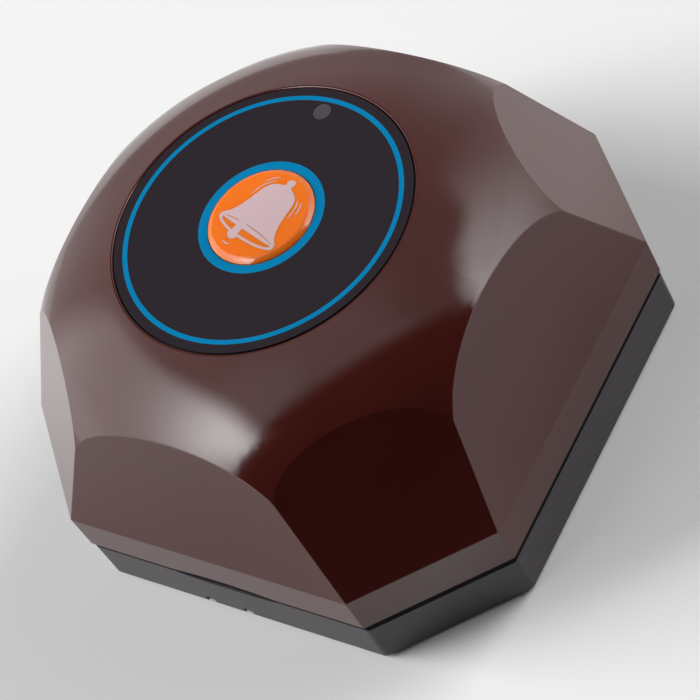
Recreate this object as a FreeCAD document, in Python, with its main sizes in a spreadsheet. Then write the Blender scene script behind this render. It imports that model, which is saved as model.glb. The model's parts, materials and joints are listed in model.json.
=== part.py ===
import FreeCAD, Part
import math
import os
import re

import Sketcher

# Waiter call button. The origin is under the middle of the part, on the surface it stands on, with +Z up.
# The front is -Y and the indicator window lies towards +Y. Lengths are in millimetres, angles in degrees.

# Outer form of the cover and the base
SIZES = {
    "across_long_sides": 74.0,
    "across_short_sides": 83.8,
    "foot_proud": 0.6,
    "base_height": 6.8,
    "seam_gap": 1.2,
    "band_height": 6.2,
    "crown_height": 24.8,
    "long_facet_lean": 16.0,
    "short_facet_lean": 27.5,
    "edge_round": 0.35,
    "rim_round": 0.25,
    "rim_proud": 0.1,
    "rim_slope": 17.7,
    "shoulder_slope": 33.2,
    "skirt_slope": 58.0,
    "upper_dome_radius": 41.9,
    "lower_dome_radius": 18.9,
    "cover_wall": 2.2,
    "ceiling_wall": 2.4,
    # Label, its recess and its openings
    "label_radius": 20.45,
    "label_gap": 0.2,
    "label_thickness": 0.35,
    "adhesive_thickness": 0.1,
    "adhesive_margin": 0.3,
    # Key
    "key_radius": 7.3,
    "key_proud": 0.9,
    "key_crown": 0.3,
    "key_bevel_width": 0.75,
    "key_bevel_height": 0.52,
    "key_bevel_round": 2.2,
    "key_label_gap": 0.1,
    "key_cover_gap": 0.25,
    "key_wall": 1.4,
    "key_flange_width": 1.3,
    "key_flange_thickness": 1.0,
    "key_rest_gap": 0.1,
    "key_stem_radius": 2.0,
    "key_stem_drop": 1.0,
    # Indicator window and light guide
    "window_radius": 1.25,
    "window_edge_margin": 3.5,
    "window_gap": 0.05,
    "guide_collar_width": 0.9,
    "guide_collar_thickness": 0.8,
    "guide_led_gap": 0.3,
    # Pry slot and drain notches in the front
    "pry_slot_width": 16.0,
    "pry_slot_rise": 0.55,
    "pry_slot_depth": 1.4,
    "pry_dip_fall": 0.35,
    "pry_dip_depth": 0.1,
    "drain_notch_width": 1.4,
    "drain_notch_height": 1.1,
    "drain_notch_depth": 1.0,
    "drain_notch_first": -5.8,
    "drain_notch_second": 0.4,
    # Base tray, its tongue and snap hooks
    "base_inset": 0.2,
    "base_corner_round": 1.2,
    "base_edge_round": 0.1,
    "base_floor": 2.4,
    "tongue_height": 5.0,
    "tongue_wall": 1.6,
    "tongue_gap": 0.2,
    "hook_width": 8.0,
    "hook_proud": 0.7,
    "hook_height": 1.4,
    "hook_gap": 0.3,
    "hook_play": 0.1,
    "hook_land": 0.4,
    "hook_rise": 2.6,
    "hook_slit": 0.8,
    "hook_slit_floor": 0.6,
    "mount_hole_radius": 2.1,
    "mount_head_radius": 4.0,
    "mount_head_depth": 1.3,
    "mount_spacing": 40.0,
    "gasket_setback": 0.3,
    "gasket_gap": 0.05,
    # Rubber feet
    "foot_radius": 5.0,
    "foot_thickness": 1.5,
    "foot_edge_round": 0.3,
    "foot_place": 23.0,
    "foot_gap": 0.1,
    # Circuit board and its screws
    "board_lamp_margin": 2.05,
    "board_thickness": 1.6,
    "board_corner_cut": 2.0,
    "boss_length": 9.6,
    "boss_radius": 3.0,
    "boss_edge_margin": 3.5,
    "boss_hole_radius": 1.05,
    "boss_hole_depth": 7.0,
    "screw_shank_radius": 1.0,
    "screw_shank_length": 7.6,
    "screw_head_radius": 2.3,
    "screw_head_height": 1.6,
    "screw_cross_length": 2.6,
    "screw_cross_width": 0.6,
    "screw_cross_depth": 0.9,
    "screw_board_gap": 0.3,
    "screw_holder_gap": 0.85,
    # Push switch
    "switch_side": 6.2,
    "switch_standoff": 0.1,
    "switch_floor": 0.9,
    "switch_height": 3.4,
    "switch_cavity_radius": 2.6,
    "switch_cover_thickness": 0.3,
    "switch_cover_skirt": 1.6,
    "plunger_radius": 1.75,
    "plunger_gap": 0.15,
    "plunger_snap_gap": 0.05,
    "plunger_foot_radius": 1.2,
    "plunger_foot_height": 0.55,
    "plunger_collar_radius": 2.3,
    "plunger_collar_height": 0.8,
    "snap_radius": 2.3,
    "snap_rise": 0.8,
    "snap_thickness": 0.12,
    "terminal_width": 0.7,
    "terminal_thickness": 0.3,
    "terminal_spread": 4.5,
    "terminal_reach": 0.5,
    "lead_stub": 1.4,
    "lead_hole_gap": 0.1,
    # Indicator lamp
    "led_radius": 1.5,
    "led_height": 4.6,
    "led_collar_radius": 1.9,
    "led_collar_height": 0.9,
    "led_lead_radius": 0.25,
    "led_lead_spread": 2.54,
    # Parts on the board
    "chip_length": 4.9,
    "chip_width": 3.9,
    "chip_height": 1.4,
    "chip_standoff": 0.15,
    "chip_place_x": -11.5,
    "chip_place_y": 4.0,
    "chip_lead_pitch": 1.27,
    "chip_lead_width": 0.42,
    "chip_lead_reach": 1.0,
    "chip_lead_thickness": 0.2,
    "resonator_radius": 4.2,
    "resonator_height": 3.2,
    "resonator_flange_width": 0.5,
    "resonator_flange_height": 0.5,
    "resonator_contact_gap": 0.55,
    "resonator_place_y": -9.5,
    "transistor_length": 2.9,
    "transistor_width": 1.4,
    "transistor_height": 1.1,
    "transistor_leg_width": 0.4,
    "transistor_leg_reach": 0.5,
    "transistor_leg_thickness": 0.15,
    "transistor_place_x": 9.5,
    "transistor_place_y": -2.0,
    "can_radius": 2.5,
    "can_height": 7.0,
    "can_edge_round": 0.3,
    "can_place_x": 10.5,
    "can_place_y": 8.5,
    "small_part_length": 2.0,
    "small_part_width": 1.25,
    "small_part_height": 0.55,
    "small_part_pitch": 2.6,
    "small_part_row_x": -11.0,
    "resistor_row_y": -6.5,
    "capacitor_row_y": -11.0,
    "antenna_wire_radius": 0.3,
    "antenna_radius": 2.3,
    "antenna_length": 15.3,
    "antenna_edge_margin": 4.4,
    "antenna_lift": 0.5,
    # Battery, its holder and contacts
    "battery_radius": 5.15,
    "battery_length": 28.5,
    "battery_edge_round": 0.5,
    "battery_nub_radius": 2.6,
    "battery_nub_height": 1.0,
    "holder_wall": 1.2,
    "holder_floor": 1.2,
    "holder_gap": 0.15,
    "holder_side_reach": 0.8,
    "holder_end_reach": 3.5,
    "holder_edge_margin": 1.3,
    "contact_thickness": 0.4,
    "contact_width": 8.0,
    "contact_rise": 3.3,
    "contact_tab_width": 1.6,
    "contact_tab_stub": 1.0,
    "contact_hole_gap": 0.2,
    "contact_spring_length": 3.4,
    "contact_spring_wire_radius": 0.3,
    "contact_spring_radius": 2.4,
    # One overrun serves every cut
    "overrun": 1.0,
}

# Levels and places that follow from the sizes, as expressions in their names
PLACES = {
    "long_apothem": "across_long_sides / 2",
    "short_apothem": "across_short_sides / 2",
    "clear_reach": "across_long_sides",
    "base_top": "foot_proud + base_height",
    "cover_bottom": "base_top + seam_gap",
    "band_top": "cover_bottom + band_height",
    "label_top": "band_top + crown_height",
    "rim_top": "label_top + rim_proud",
    "label_bottom": "label_top - label_thickness",
    "recess_floor": "label_bottom - adhesive_thickness",
    "ceiling": "recess_floor - ceiling_wall",
    "recess_radius": "label_radius + label_gap",
    "window_distance": "label_radius - window_edge_margin",
    "rim_centre_x": "recess_radius - upper_dome_radius * sin(rim_slope)",
    "rim_centre_z": "rim_top - upper_dome_radius * cos(rim_slope)",
    "dome_step": "upper_dome_radius - lower_dome_radius",
    "shoulder_centre_x": "rim_centre_x + dome_step * sin(shoulder_slope)",
    "shoulder_centre_z": "rim_centre_z + dome_step * cos(shoulder_slope)",
    "inner_long_apothem": "long_apothem - cover_wall",
    "inner_short_apothem": "short_apothem - cover_wall",
    "tongue_long_apothem": "inner_long_apothem - tongue_gap",
    "tongue_short_apothem": "inner_short_apothem - tongue_gap",
    "tongue_top": "base_top + tongue_height",
    "floor_top": "foot_proud + base_floor",
    "hook_bottom": "base_top + hook_rise",
    "board_width": "2 * (window_distance + board_lamp_margin)",
    "boss_place_x": "holder_half_length + screw_head_radius + screw_holder_gap",
    "boss_place_y": "board_width / 2 - boss_edge_margin",
    "board_length": "2 * (boss_place_x + boss_edge_margin)",
    "board_top": "ceiling - boss_length",
    "board_bottom": "board_top - board_thickness",
    "key_top": "label_top + key_proud",
    "key_flange_top": "ceiling - key_rest_gap",
    "key_flange_bottom": "key_flange_top - key_flange_thickness",
    "key_flange_radius": "key_radius + key_flange_width",
    "switch_bottom": "board_top + switch_standoff",
    "switch_seat": "switch_bottom + switch_floor",
    "switch_top": "switch_bottom + switch_height",
    "snap_top": "switch_seat + snap_rise",
    "plunger_bottom": "snap_top + plunger_snap_gap",
    "plunger_collar_bottom": "plunger_bottom + plunger_foot_height",
    "plunger_collar_top": "plunger_collar_bottom + plunger_collar_height",
    "plunger_top": "key_flange_bottom - key_stem_drop",
    "led_top": "board_top + led_height",
    "lead_end": "board_bottom - lead_stub",
    "holder_top": "board_bottom - holder_floor",
    "battery_z": "holder_top - holder_gap - battery_radius",
    "cell_length": "battery_length - battery_nub_height",
    "bay_length": "battery_length + contact_spring_length + contact_thickness",
    "bay_radius": "battery_radius + holder_gap",
    "bay_end": "bay_length / 2",
    "battery_start": "contact_spring_length - bay_end",
    "holder_bottom": "battery_z - holder_side_reach",
    "holder_half_length": "bay_end + holder_wall",
    "holder_half_width": "bay_radius + holder_wall",
    "battery_place_y": "holder_half_width + holder_edge_margin - board_width / 2",
    "resonator_reach": "resonator_radius + resonator_flange_width",
    "resonator_place_x": "bay_end - contact_thickness - resonator_contact_gap - resonator_reach",
    "antenna_place_x": "board_length / 2 - antenna_edge_margin",
    "tab_top": "board_top + contact_tab_stub",
    "terminal_place": "switch_side / 2 + terminal_reach - terminal_thickness / 2",
}

CHIP_LEADS_PER_SIDE = 4
SMALL_PARTS_PER_ROW = 4
ANTENNA_TURNS = 9
CONTACT_SPRING_TURNS = 3
TRANSISTOR_LEG_SHARE = 0.33
EIGHTH_TURN, QUARTER_TURN, HALF_TURN, FULL_TURN = 45.0, 90.0, 180.0, 360.0
UP = FreeCAD.Vector(0, 0, 1)
SNUG = 1e-4
WORD = re.compile(r"[a-z][a-z0-9_]*")

doc = FreeCAD.newDocument("waiter_call_button")
sheet = doc.addObject("Spreadsheet::Sheet", "Sizes")
for row, (alias, size) in enumerate(SIZES.items(), start=1):
    sheet.set(f"A{row}", alias)
    sheet.set(f"B{row}", str(size))
    sheet.setAlias(f"B{row}", alias)
doc.recompute()
pieces = []


def spell(text):
    """Write an expression in cell names: places are opened up until only sizes are left."""
    def open_up(found):
        word = found.group(0)
        if word in PLACES:
            return "(" + spell(PLACES[word]) + ")"
        return "Sizes." + word if word in SIZES else word
    return WORD.sub(open_up, str(text))


def worth(text):
    """Number that an expression has now."""
    return float(sheet.evalExpression(spell(text)))


def bind(thing, prop, text):
    """Give a property its value through the sheet."""
    thing.setExpression(prop, spell(text))


def place(thing, x="0", y="0", z="0"):
    for axis, text in zip("xyz", (x, y, z)):
        bind(thing, f"Placement.Base.{axis}", text)


def keep(piece, label):
    """Name a finished piece; its label is the name of its file."""
    piece.Label = label
    pieces.append(piece)
    return piece


def new_body(name):
    return doc.addObject("PartDesign::Body", name)


def datum(body, role):
    """One of the body's own origin planes or axes."""
    return next(item for item in body.Origin.OriginFeatures if item.Role == role)


def new_sketch(body, plane="XY_Plane", lift="0", turn=0.0):
    """Sketch on an origin plane, lifted along its normal, or turned about the upright axis on XZ."""
    sketch = body.newObject("Sketcher::SketchObject", body.Name + "_sketch")
    sketch.AttachmentSupport = [(datum(body, plane), "")]
    sketch.MapMode = "FlatFace"
    if turn:
        spin = FreeCAD.Rotation(FreeCAD.Vector(0, 1, 0), turn)
        sketch.AttachmentOffset = FreeCAD.Placement(FreeCAD.Vector(), spin)
    bind(sketch, "AttachmentOffset.Base.z", lift)
    return sketch


def fix(sketch, constraint, text):
    """Add a dimension and tie it to the sheet."""
    number = sketch.addConstraint(constraint)
    bind(sketch, f"Constraints[{number}]", text)


def fix_point(sketch, edge, end, x, y):
    fix(sketch, Sketcher.Constraint("DistanceX", -1, 1, edge, end, worth(x)), x)
    fix(sketch, Sketcher.Constraint("DistanceY", -1, 1, edge, end, worth(y)), y)


def draw_circle(sketch, radius, x="0", y="0"):
    middle = FreeCAD.Vector(worth(x), worth(y), 0)
    edge = sketch.addGeometry(Part.Circle(middle, FreeCAD.Vector(0, 0, 1), worth(radius)))
    fix(sketch, Sketcher.Constraint("Radius", edge, worth(radius)), radius)
    fix_point(sketch, edge, 3, x, y)


def arc_between(start, end, radius, side):
    """Arc of under a half circle from start to end, bulging to the left (side 1) or the right (-1)."""
    middle = (start + end) * 0.5
    along = end - start
    across = FreeCAD.Vector(-along.y, along.x, 0).normalize()
    sag = math.sqrt(radius ** 2 - (along.Length / 2) ** 2)
    centre = middle - across * (sag * side)
    first, last = (end, start) if side > 0 else (start, end)
    angles = [math.atan2(point.y - centre.y, point.x - centre.x) for point in (first, last)]
    return Part.ArcOfCircle(Part.Circle(centre, FreeCAD.Vector(0, 0, 1), radius), *angles)


def draw(sketch, corners):
    """Closed outline. A corner is (x, y), or (x, y, radius, side) where the edge that leaves it is an arc."""
    spots = [FreeCAD.Vector(worth(corner[0]), worth(corner[1]), 0) for corner in corners]
    edges = []
    for number, corner in enumerate(corners):
        start, end = spots[number], spots[(number + 1) % len(spots)]
        if len(corner) == 2:
            edge = sketch.addGeometry(Part.LineSegment(start, end))
            edges.append((edge, 1, 2))
        else:
            edge = sketch.addGeometry(arc_between(start, end, worth(corner[2]), corner[3]))
            edges.append((edge, 2, 1) if corner[3] > 0 else (edge, 1, 2))
    for number, corner in enumerate(corners):
        edge, first, _ = edges[number]
        before, _, last = edges[number - 1]
        sketch.addConstraint(Sketcher.Constraint("Coincident", before, last, edge, first))
        fix_point(sketch, edge, first, corner[0], corner[1])
        if len(corner) > 2:
            fix(sketch, Sketcher.Constraint("Radius", edge, worth(corner[2])), corner[2])


def octagon(long_apothem, short_apothem):
    """Corners of an octagon whose upright and level sides are the long ones."""
    half_side = f"({short_apothem}) * sqrt(2) - ({long_apothem})"
    near, far = f"({half_side})", f"({long_apothem})"
    return [(far, near), (near, far), (f"-{near}", far), (f"-{far}", near),
            (f"-{far}", f"-{near}"), (f"-{near}", f"-{far}"), (near, f"-{far}"), (far, f"-{near}")]


def rectangle(low_x, low_y, high_x, high_y):
    return [(low_x, low_y), (high_x, low_y), (high_x, high_y), (low_x, high_y)]


def pad(body, sketch, length, both_ways=False):
    feature = body.newObject("PartDesign::Pad", body.Name + "_pad")
    feature.Profile = sketch
    feature.SideType = "Symmetric" if both_ways else "One side"
    bind(feature, "Length", length)
    return feature


def pocket(body, sketch, depth=None, upwards=False):
    """Cut downwards from the sketch to a depth, or upwards; without a depth it runs through both ways."""
    feature = body.newObject("PartDesign::Pocket", body.Name + "_pocket")
    feature.Profile = sketch
    if depth is None:
        feature.SideType = "Symmetric"
        feature.Type = "ThroughAll"
    else:
        feature.Reversed = upwards
        bind(feature, "Length", depth)
    return feature


def turned(body, sketch, kind="PartDesign::Revolution"):
    """Turn a profile round the upright axis of its sketch."""
    feature = body.newObject(kind, body.Name + "_turned")
    feature.Profile = sketch
    feature.ReferenceAxis = (sketch, ["V_Axis"])
    feature.Angle = FULL_TURN
    return feature


def around(body, features, copies=4):
    """Repeat features round the upright axis."""
    pattern = body.newObject("PartDesign::PolarPattern", body.Name + "_around")
    pattern.Originals = features
    pattern.Axis = (datum(body, "Z_Axis"), [""])
    pattern.Angle = FULL_TURN
    pattern.Occurrences = copies
    body.Tip = pattern
    return pattern


def rounded(body, radius, wanted):
    """Round the tip's edges that the test picks."""
    doc.recompute()
    base = body.Tip
    names = [f"Edge{n}" for n, edge in enumerate(base.Shape.Edges, start=1) if wanted(edge)]
    feature = body.newObject("PartDesign::Fillet", body.Name + "_round")
    feature.Base = (base, names)
    bind(feature, "Radius", radius)
    return feature


def revolved_body(name, corners):
    body = new_body(name)
    sketch = new_sketch(body, "XZ_Plane")
    draw(sketch, corners)
    turned(body, sketch)
    return body


def cylinder(name, radius, height, x="0", y="0", z="0"):
    shape = doc.addObject("Part::Cylinder", name)
    bind(shape, "Radius", radius)
    bind(shape, "Height", height)
    place(shape, x, y, z)
    return shape


def block(name, low, size):
    shape = doc.addObject("Part::Box", name)
    for prop, text in zip(("Length", "Width", "Height"), size):
        bind(shape, prop, text)
    place(shape, *low)
    return shape


def joined(name, shapes):
    whole = doc.addObject("Part::MultiFuse", name)
    whole.Shapes = shapes
    whole.Refine = True
    return whole


def cut(name, base, tool):
    rest = doc.addObject("Part::Cut", name)
    rest.Base = base
    rest.Tool = tool
    rest.Refine = True
    return rest


def group(name, shapes):
    """Several separate solids that share one node."""
    whole = doc.addObject("Part::Compound", name)
    whole.Links = shapes
    return whole


# Shapes that several pieces use


def near(number, text):
    """Whether a length of a built edge is the one that an expression gives."""
    return abs(number - worth(text)) < SNUG


def upright(edge):
    """Whether an edge runs straight up."""
    box = edge.BoundBox
    return max(box.XLength, box.YLength) < SNUG < box.ZLength


def quarter(corners, turns):
    """Corners turned by quarter turns round the middle."""
    for _ in range(turns):
        corners = [(f"-({y})", x) for x, y in corners]
    return corners


def boss_places():
    return [(f"{along} * boss_place_x", f"{across} * boss_place_y")
            for along in (-1, 1) for across in (-1, 1)]


def swell(half_width, rise):
    """Radius of an arc that rises over a half width."""
    return f"(({half_width}) ^ 2 + ({rise}) ^ 2) / (2 * ({rise}))"


def crown_form(name, inset, bottom, top):
    """Prism of the octagon under a turned dome, with eight leaning facets above the band."""
    body = new_body(name)
    prism = new_sketch(body, lift=bottom)
    draw(prism, octagon(f"long_apothem - {inset}", f"short_apothem - {inset}"))
    pad(body, prism, f"{top} - ({bottom})")

    upper, lower = f"(upper_dome_radius - {inset})", f"(lower_dome_radius - {inset})"
    rim = (f"rim_centre_x + {upper} * sin(rim_slope)", f"rim_centre_z + {upper} * cos(rim_slope)")
    shoulder = (f"shoulder_centre_x + {lower} * sin(shoulder_slope)",
                f"shoulder_centre_z + {lower} * cos(shoulder_slope)")
    skirt = (f"shoulder_centre_x + {lower} * sin(skirt_slope)",
             f"shoulder_centre_z + {lower} * cos(skirt_slope)")
    hem = ("clear_reach", f"{skirt[1]} - (clear_reach - ({skirt[0]})) * tan(skirt_slope)")
    sky = "rim_top + overrun"
    dome = new_sketch(body, "XZ_Plane")
    draw(dome, [rim + (upper, 1), shoulder + (lower, 1), skirt, hem, ("clear_reach", sky), (rim[0], sky)])
    turned(body, dome, "PartDesign::Groove")

    for apothem, lean, turn in (("long_apothem", "long_facet_lean", 0.0),
                                ("short_apothem", "short_facet_lean", EIGHTH_TURN)):
        foot = f"{apothem} - {inset} / cos({lean})"
        slope = new_sketch(body, "XZ_Plane", turn=turn)
        draw(slope, [(f"{foot} + overrun * tan({lean})", "band_top - overrun"),
                     ("clear_reach", "band_top - overrun"), ("clear_reach", sky),
                     (f"{foot} - ({sky} - band_top) * tan({lean})", sky)])
        around(body, [pocket(body, slope)])
    return body


# Cover


def make_cover_room():
    """Hollow of the cover: its screw bosses are left out of it, and its hook pockets stand out from it."""
    room = crown_form("cover_room", "cover_wall", "cover_bottom - overrun", "ceiling")
    bosses = new_sketch(room, lift="ceiling + overrun")
    for x, y in boss_places():
        draw_circle(bosses, "boss_radius", x, y)
    pocket(room, bosses, "ceiling + overrun - board_top")
    pockets = new_sketch(room, lift="hook_bottom - hook_play")
    wide = "hook_width / 2 + hook_gap"
    deep = "tongue_long_apothem + hook_proud + hook_gap"
    for turns in range(4):
        draw(pockets, quarter(rectangle("inner_long_apothem - overrun", f"-({wide})", deep, wide), turns))
    pad(room, pockets, "hook_height + hook_gap + hook_play")
    return room


def make_cover():
    """Moulded shell with a recess for the label, holes for key and window, and a pry slot in front."""
    room = make_cover_room()
    cover = crown_form("cover", "0", "cover_bottom", "rim_top")
    recess = new_sketch(cover, lift="rim_top + overrun")
    draw_circle(recess, "recess_radius")
    pocket(cover, recess, "rim_top + overrun - recess_floor")
    rounded(cover, "rim_round", lambda edge: near(edge.BoundBox.ZMin, "rim_top"))
    rounded(cover, "edge_round", is_outer_edge)
    hollow = cover.newObject("PartDesign::Boolean", "cover_hollow")
    hollow.Type = "Cut"
    hollow.setObjects([room])
    holes = new_sketch(cover, lift="ceiling")
    draw_circle(holes, "key_radius + key_cover_gap")
    draw_circle(holes, "window_radius + window_gap", "0", "window_distance")
    pocket(cover, holes)
    screw_holes = new_sketch(cover, lift="board_top - overrun")
    for x, y in boss_places():
        draw_circle(screw_holes, "boss_hole_radius", x, y)
    pocket(cover, screw_holes, "overrun + boss_hole_depth", upwards=True)
    slot = new_sketch(cover, "XZ_Plane", lift="long_apothem + overrun")
    half, below = "(pry_slot_width / 2)", "cover_bottom - overrun"
    draw(slot, [(f"-{half}", "cover_bottom", swell(half, "pry_slot_rise"), 1), (half, "cover_bottom"),
                (half, below), (f"-{half}", below)])
    pocket(cover, slot, "overrun + pry_slot_depth")
    keep(cover, "top_cover")


def is_outer_edge(edge):
    """Edges of the cover's outside that get the small round: not its foot's and not the rim's or recess's."""
    box = edge.BoundBox
    in_foot = near(box.ZMin, "cover_bottom") and not upright(edge)
    return not in_foot and box.ZMax < worth("recess_floor")


# Base and seam


def make_base():
    """Tray with a tongue that stands inside the cover, snap hooks, mounting holes and seats for the feet."""
    base = new_body("base")
    slab = new_sketch(base, lift="foot_proud")
    draw(slab, octagon("long_apothem - base_inset", "short_apothem - base_inset"))
    pad(base, slab, "base_height")
    rounded(base, "base_corner_round", upright)
    rounded(base, "base_edge_round", lambda edge: not upright(edge))
    tongue = new_sketch(base, lift="floor_top")
    draw(tongue, octagon("tongue_long_apothem", "tongue_short_apothem"))
    pad(base, tongue, "tongue_top - floor_top")
    well = new_sketch(base, lift="tongue_top + overrun")
    draw(well, octagon("tongue_long_apothem - tongue_wall", "tongue_short_apothem - tongue_wall"))
    pocket(base, well, "tongue_top + overrun - floor_top")

    hook = new_sketch(base, "XZ_Plane")
    inner, tip = "tongue_long_apothem - tongue_wall / 2", "tongue_long_apothem + hook_proud"
    hook_top = "hook_bottom + hook_height"
    draw(hook, [(inner, "hook_bottom"), (tip, "hook_bottom"), (tip, "hook_bottom + hook_land"),
                ("tongue_long_apothem", hook_top), (inner, hook_top)])
    around(base, [pad(base, hook, "hook_width", both_ways=True)])
    slits = new_sketch(base, lift="tongue_top + overrun")
    side = "hook_width / 2"
    for near_y, far_y in ((side, f"{side} + hook_slit"), (f"-{side} - hook_slit", f"-{side}")):
        draw(slits, rectangle("tongue_long_apothem - tongue_wall - overrun", near_y,
                              "tongue_long_apothem + hook_proud", far_y))
    around(base, [pocket(base, slits, "tongue_height + overrun - hook_slit_floor")])

    screw_holes = new_sketch(base, lift="foot_proud")
    head_seats = new_sketch(base, lift="floor_top")
    for side in (-1, 1):
        draw_circle(screw_holes, "mount_hole_radius", f"{side} * mount_spacing / 2")
        draw_circle(head_seats, "mount_head_radius", f"{side} * mount_spacing / 2")
    pocket(base, screw_holes)
    pocket(base, head_seats, "mount_head_depth")
    seats = new_sketch(base, lift="foot_proud")
    for x, y in foot_places():
        draw_circle(seats, "foot_radius + foot_gap", x, y)
    pocket(base, seats, "foot_thickness - foot_proud", upwards=True)

    notches = new_sketch(base, lift="foot_proud")
    for middle in ("drain_notch_first", "drain_notch_second"):
        draw(notches, rectangle(f"{middle} - drain_notch_width / 2", "-long_apothem - overrun",
                                f"{middle} + drain_notch_width / 2",
                                "base_inset + drain_notch_depth - long_apothem"))
    pocket(base, notches, "drain_notch_height", upwards=True)
    dip = new_sketch(base, "XZ_Plane", lift="long_apothem + overrun")
    half, above = "(pry_slot_width / 2)", "base_top + overrun"
    draw(dip, [(f"-{half}", "base_top", swell(half, "pry_dip_fall"), -1), (half, "base_top"),
               (half, above), (f"-{half}", above)])
    pocket(base, dip, "overrun + base_inset + pry_dip_depth")
    keep(base, "base_plate")


def make_gasket():
    """Rubber strip that fills the seam, set back from the sides."""
    gasket = new_body("gasket")
    strip = new_sketch(gasket, lift="base_top")
    draw(strip, octagon("long_apothem - gasket_setback", "short_apothem - gasket_setback"))
    draw(strip, octagon("tongue_long_apothem + gasket_gap", "tongue_short_apothem + gasket_gap"))
    pad(gasket, strip, "seam_gap")
    keep(gasket, "seam_gasket")


def foot_places():
    return [(f"{along} * foot_place", f"{across} * foot_place") for along in (-1, 1) for across in (-1, 1)]


def make_feet():
    feet = []
    for x, y in foot_places():
        foot = revolved_body("foot", [
            ("0", "0"), ("foot_radius - foot_edge_round", "0", "foot_edge_round", -1),
            ("foot_radius", "foot_edge_round"), ("foot_radius", "foot_thickness"), ("0", "foot_thickness")])
        place(foot, x, y)
        feet.append(foot)
    keep(group("feet", feet), "rubber_feet")


# Label, window and key


def make_label():
    """Printed disc and the film under it, each with openings for the key and the window."""
    for name, bottom, thickness, shrink in (("label_overlay", "label_bottom", "label_thickness", "0"),
                                            ("label_adhesive", "recess_floor", "adhesive_thickness",
                                             "adhesive_margin")):
        body = new_body(name + "_disc")
        disc = new_sketch(body, lift=bottom)
        draw_circle(disc, f"label_radius - {shrink}")
        draw_circle(disc, f"key_radius + key_label_gap + {shrink}")
        draw_circle(disc, f"window_radius + window_gap + {shrink}", "0", "window_distance")
        pad(body, disc, thickness)
        keep(body, name)


def make_light_guide():
    """Clear rod from the lamp to the window, held by a collar under the cover's ceiling."""
    collar, collar_foot = "window_radius + guide_collar_width", "ceiling - guide_collar_thickness"
    foot = "led_top + guide_led_gap"
    guide = revolved_body("guide", [
        ("0", foot), ("window_radius", foot), ("window_radius", collar_foot), (collar, collar_foot),
        (collar, "ceiling"), ("window_radius", "ceiling"), ("window_radius", "label_top"),
        ("0", "label_top")])
    place(guide, y="window_distance")
    keep(guide, "light_pipe")


def make_key():
    """Domed cap with a flange that traps it under the cover, and a stem that stands on the plunger."""
    crown_foot, bevel_start = "key_top - key_crown", "key_radius - key_bevel_width"
    bore, cap_ceiling = "key_radius - key_wall", "key_top - key_crown - key_wall"
    key = revolved_body("key", [
        ("0", "key_top", swell(bevel_start, "key_crown"), 1), (bevel_start, crown_foot, "key_bevel_round", 1),
        ("key_radius", f"{crown_foot} - key_bevel_height"), ("key_radius", "key_flange_top"),
        ("key_flange_radius", "key_flange_top"), ("key_flange_radius", "key_flange_bottom"),
        (bore, "key_flange_bottom"), (bore, cap_ceiling), ("key_stem_radius", cap_ceiling),
        ("key_stem_radius", "plunger_top"), ("0", "plunger_top")])
    keep(key, "key_cap")


# Push switch under the key


def make_switch():
    half = "switch_side / 2"
    case = block("switch_case", (f"-{half}", f"-{half}", "switch_bottom"),
                 ("switch_side", "switch_side", "switch_height"))
    cavity = cylinder("switch_cavity", "switch_cavity_radius", "switch_height", z="switch_seat")
    keep(cut("switch_shell", case, cavity), "switch_base")

    inner_rise, inner_radius = "snap_rise - snap_thickness", "snap_radius - 2 * snap_thickness"
    snap = revolved_body("snap", [
        ("0", "snap_top", swell("snap_radius", "snap_rise"), 1), ("snap_radius", "switch_seat"),
        (inner_radius, "switch_seat", swell(inner_radius, inner_rise), -1),
        ("0", "snap_top - snap_thickness")])
    keep(snap, "switch_dome")

    plunger = revolved_body("plunger", [
        ("0", "plunger_bottom"), ("plunger_foot_radius", "plunger_bottom"),
        ("plunger_foot_radius", "plunger_collar_bottom"), ("plunger_collar_radius", "plunger_collar_bottom"),
        ("plunger_collar_radius", "plunger_collar_top"), ("plunger_radius", "plunger_collar_top"),
        ("plunger_radius", "plunger_top"), ("0", "plunger_top")])
    keep(plunger, "switch_plunger")

    plate = block("switch_plate", (f"-{half}", f"-{half}", "switch_top"),
                  ("switch_side", "switch_side", "switch_cover_thickness"))
    skirts = [block("switch_skirt", (f"-{half}", y, "switch_top - switch_cover_skirt"),
                    ("switch_side", "switch_cover_thickness", "switch_cover_skirt + switch_cover_thickness"))
              for y in (half, f"-{half} - switch_cover_thickness")]
    opening = cylinder("switch_opening", "plunger_radius + plunger_gap",
                       "switch_cover_thickness + 2 * overrun", z="switch_top - overrun")
    keep(cut("switch_lid", joined("switch_hood", [plate] + skirts), opening), "switch_cover")

    terminals = []
    leg = f"{half} + terminal_reach"
    for turn, row in ((0.0, 1), (HALF_TURN, -1)):
        for side in (-1, 1):
            terminal = new_body("terminal")
            profile = new_sketch(terminal, "XZ_Plane")
            draw(profile, [(half, "switch_seat - terminal_thickness"),
                           (f"{leg} - terminal_thickness", "switch_seat - terminal_thickness"),
                           (f"{leg} - terminal_thickness", "lead_end"), (leg, "lead_end"),
                           (leg, "switch_seat"), (half, "switch_seat")])
            pad(terminal, profile, "terminal_width", both_ways=True)
            terminal.Placement.Rotation = FreeCAD.Rotation(UP, turn)
            place(terminal, y=f"{side * row} * terminal_spread / 2")
            terminals.append(terminal)
    keep(group("terminals", terminals), "switch_terminals")


# Circuit board and what it carries


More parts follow.
